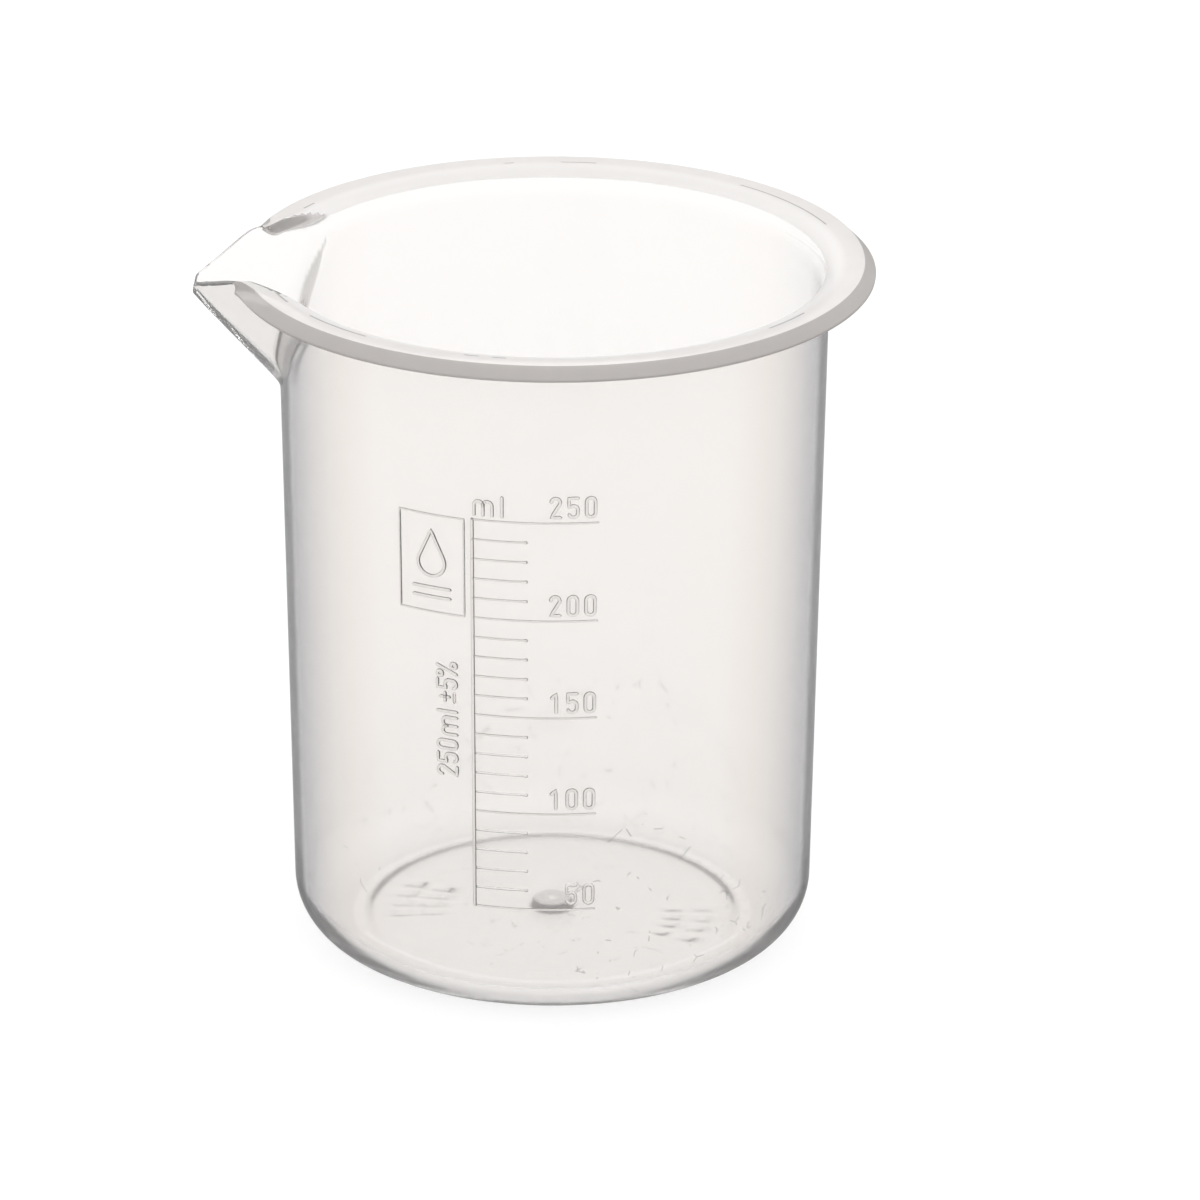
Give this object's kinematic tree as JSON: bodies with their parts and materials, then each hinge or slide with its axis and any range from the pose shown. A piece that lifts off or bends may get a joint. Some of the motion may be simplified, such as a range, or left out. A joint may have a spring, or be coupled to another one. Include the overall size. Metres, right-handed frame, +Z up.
{
  "type": "graduated laboratory beaker",
  "caption": "Low-form laboratory beaker in translucent natural polypropylene, with a flanged rim, a V-shaped pouring spout and a raised millilitre scale.",
  "frame": {"origin": "on the vessel's axis, in the plane of the foot that the beaker stands on", "axes": "+Z up along the vessel's axis, -X towards the pouring spout, -Y towards the volume scale"},
  "size_m": [0.09, 0.0848, 0.095],
  "materials": {
    "natural_polypropylene": "translucent natural polypropylene, smooth moulded gloss",
    "raised_marks": "the same natural polypropylene, raised 0.25 mm, reads slightly greyer at its edges"
  },
  "bodies": {
    "root": {"wall": "natural_polypropylene", "heel_ring": "natural_polypropylene", "floor_disc": "natural_polypropylene", "rim": "natural_polypropylene", "spout": "natural_polypropylene", "gate_pip": "natural_polypropylene", "scale_line": "raised_marks", "major_graduations": "raised_marks", "minor_graduations": "raised_marks", "numeral_50": "raised_marks", "numeral_100": "raised_marks", "numeral_150": "raised_marks", "numeral_200": "raised_marks", "numeral_250": "raised_marks", "unit_ml": "raised_marks", "accuracy_note": "raised_marks", "symbol_frame": "raised_marks", "symbol_drop": "raised_marks", "base_marks_left": "raised_marks", "base_marks_right": "raised_marks"}
  },
  "joints": []
}
